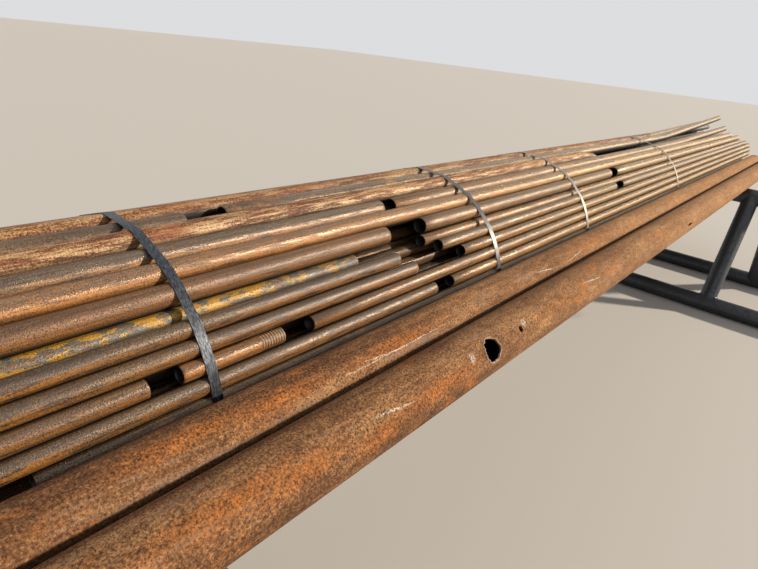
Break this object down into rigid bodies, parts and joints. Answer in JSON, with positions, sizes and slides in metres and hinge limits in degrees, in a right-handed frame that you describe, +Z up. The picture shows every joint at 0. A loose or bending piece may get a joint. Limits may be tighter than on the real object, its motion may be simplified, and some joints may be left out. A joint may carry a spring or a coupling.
{
  "type": "bundle of iron pipes",
  "caption": "Strapped bundle of rusty steel pipes of mixed diameters with two large pipes beside it, lying on two low welded pipe racks.",
  "frame": {"origin": "on the ground, under the middle of the stack's length and width", "axes": "+X along the pipes, away from the pictured near end; +Y across them, from the two large pipes to the strapped bundle; +Z up"},
  "size_m": [6.858, 1.829, 1.1507],
  "materials": {
    "large_pipe_rust": "even orange-brown rust with fine pits on black steel pipe",
    "thick_pipe_rust": "red-brown rust with pale worn streaks",
    "small_pipe_scale": "grey-brown mill scale with orange and yellow rust streaks",
    "strap_steel": "blued steel strapping, edges worn bright",
    "rack_steel": "dark weathered steel pipe"
  },
  "bodies": {
    "root": {"far_rack_base_far": "rack_steel", "far_rack_base_near": "rack_steel", "far_rack_leg_back_far": "rack_steel", "far_rack_leg_back_near": "rack_steel", "far_rack_leg_front_far": "rack_steel", "far_rack_leg_front_near": "rack_steel", "far_rack_rail": "rack_steel", "large_pipe_back": "large_pipe_rust", "large_pipe_front": "large_pipe_rust", "medium_pipes_back": "small_pipe_scale", "medium_pipes_outer": "small_pipe_scale", "near_rack_base_far": "rack_steel", "near_rack_base_near": "rack_steel", "near_rack_leg_back_far": "rack_steel", "near_rack_leg_back_near": "rack_steel", "near_rack_leg_front_far": "rack_steel", "near_rack_leg_front_near": "rack_steel", "near_rack_rail": "rack_steel", "pipes_core": "small_pipe_scale", "small_pipes_outer": "small_pipe_scale", "strap_1": "strap_steel", "strap_2": "strap_steel", "strap_3": "strap_steel", "strap_4": "strap_steel", "thick_pipes_outer": "thick_pipe_rust"}
  },
  "joints": []
}
